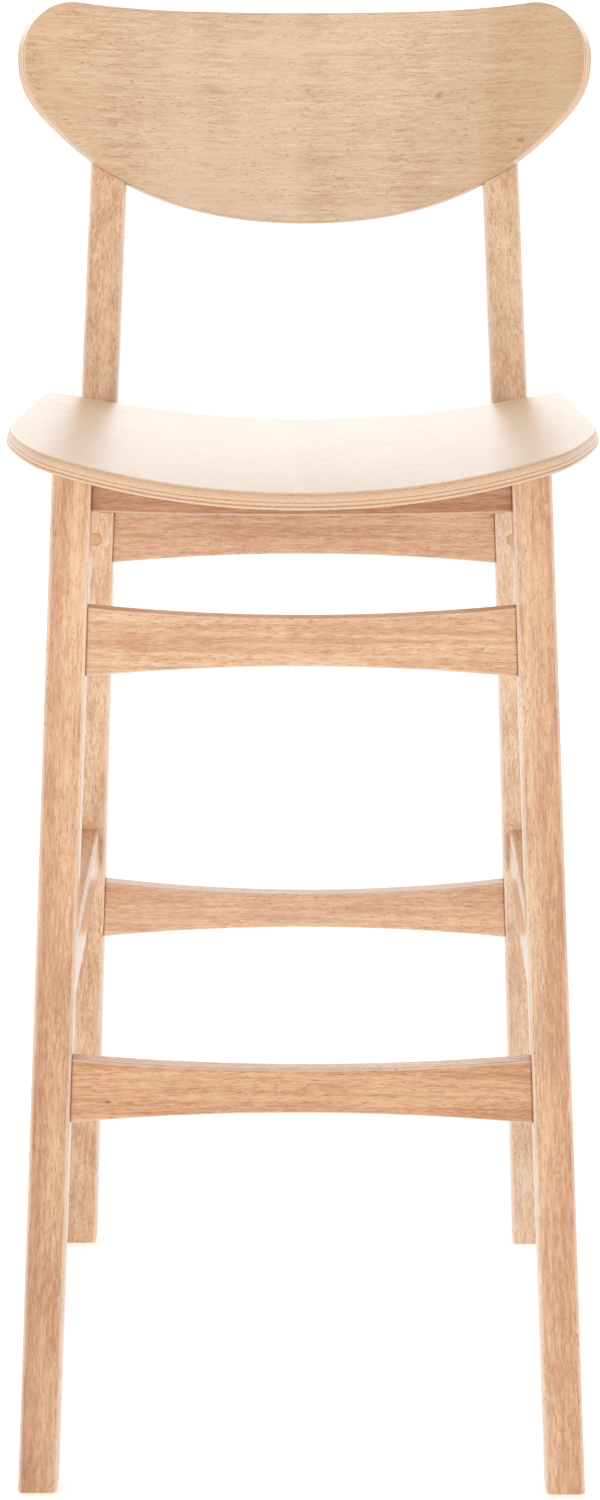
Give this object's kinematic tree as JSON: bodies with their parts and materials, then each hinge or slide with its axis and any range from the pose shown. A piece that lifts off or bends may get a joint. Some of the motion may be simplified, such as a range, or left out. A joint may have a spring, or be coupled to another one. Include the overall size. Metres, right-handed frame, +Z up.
{
  "type": "bar stool",
  "caption": "Wooden bar stool with a bent plywood seat and backrest, splayed square legs, arched cross rails and a front footrest rail.",
  "frame": {"origin": "on the floor, under the middle of the stool's overall width and depth", "axes": "+Z up; -Y is the side the sitter faces, where the footrest is; +X is to the right of a person who looks at the front of the stool"},
  "size_m": [0.4432, 0.5358, 1.0588],
  "materials": {
    "frame_wood": "clear satin lacquer on light tan hardwood with fine dark pores",
    "plywood_veneer": "clear satin lacquer on pale veneer, layered edges",
    "block_wood": "plain sanded wood",
    "screw_steel": "zinc-plated screws",
    "glide_nylon": "moulded nylon"
  },
  "bodies": {
    "root": {"seat_panel": "plywood_veneer", "backrest_panel": "plywood_veneer", "front_leg_left": "frame_wood", "front_leg_right": "frame_wood", "rear_leg_left": "frame_wood", "rear_leg_right": "frame_wood", "front_upper_rail": "frame_wood", "footrest_rail": "frame_wood", "rear_upper_rail": "frame_wood", "rear_stretcher": "frame_wood", "front_apron": "frame_wood", "rear_apron": "frame_wood", "side_stretcher_left": "frame_wood", "side_stretcher_right": "frame_wood", "side_apron_left": "frame_wood", "side_apron_right": "frame_wood", "rail_peg_left": "block_wood", "rail_peg_right": "block_wood", "corner_block_front_left": "block_wood", "corner_block_front_right": "block_wood", "corner_block_rear_left": "block_wood", "corner_block_rear_right": "block_wood", "seat_screw_front_left": "screw_steel", "seat_screw_front_right": "screw_steel", "seat_screw_rear_left": "screw_steel", "seat_screw_rear_right": "screw_steel", "backrest_screw_lower_left": "screw_steel", "backrest_screw_lower_right": "screw_steel", "backrest_screw_upper_left": "screw_steel", "backrest_screw_upper_right": "screw_steel", "backrest_plug_lower_left": "block_wood", "backrest_plug_lower_right": "block_wood", "backrest_plug_upper_left": "block_wood", "backrest_plug_upper_right": "block_wood", "foot_glide_front_left": "glide_nylon", "foot_glide_front_right": "glide_nylon", "foot_glide_rear_left": "glide_nylon", "foot_glide_rear_right": "glide_nylon"}
  },
  "joints": []
}
